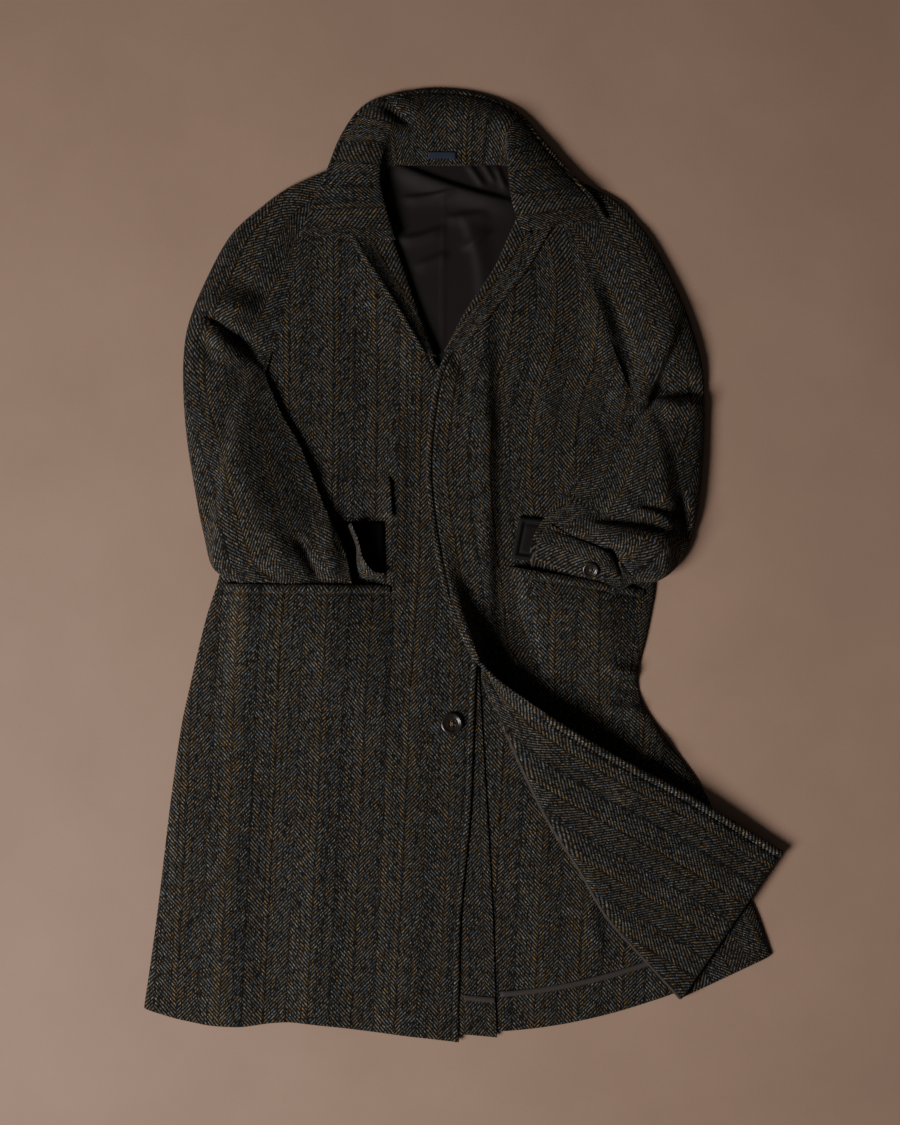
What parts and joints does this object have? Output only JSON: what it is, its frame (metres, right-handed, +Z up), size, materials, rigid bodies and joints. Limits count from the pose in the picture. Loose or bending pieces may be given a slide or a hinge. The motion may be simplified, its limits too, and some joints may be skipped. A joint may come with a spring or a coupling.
{
  "type": "raglan coat",
  "caption": "Raglan overcoat in herringbone tweed, laid flat on its back with its cuffs in the patch pockets and one front's lower corner turned back.",
  "frame": {"origin": "centre of the coat's outline, on the surface it lies on", "axes": "+Z up from the surface, +Y from hem to collar, +X to the wearer's left"},
  "size_m": [0.8036, 1.1999, 0.0545],
  "materials": {
    "herringbone_tweed": "matt woollen herringbone",
    "brown_lining": "soft satin",
    "binding_tape": "plain tape",
    "dark_horn": "polished dark horn",
    "label_cloth": "plain woven"
  },
  "bodies": {
    "root": {"back_right": "herringbone_tweed", "back_left": "herringbone_tweed", "front_right": "herringbone_tweed", "front_left": "herringbone_tweed", "facing_right": "herringbone_tweed", "facing_left": "herringbone_tweed", "facing_left_skirt": "herringbone_tweed", "sleeve_right": "herringbone_tweed", "sleeve_left": "herringbone_tweed", "collar": "herringbone_tweed", "pocket_right": "herringbone_tweed", "pocket_left": "herringbone_tweed", "flap_right": "herringbone_tweed", "flap_left": "herringbone_tweed", "ticket_flap": "herringbone_tweed", "cuff_tab_right": "herringbone_tweed", "cuff_tab_left": "herringbone_tweed", "back_lining": "brown_lining", "flap_right_lining": "brown_lining", "flap_left_lining": "brown_lining", "hem_binding_right": "binding_tape", "hem_binding_left": "binding_tape", "coat_button": "dark_horn", "cuff_button_left": "dark_horn", "neck_label": "label_cloth"}
  },
  "joints": []
}
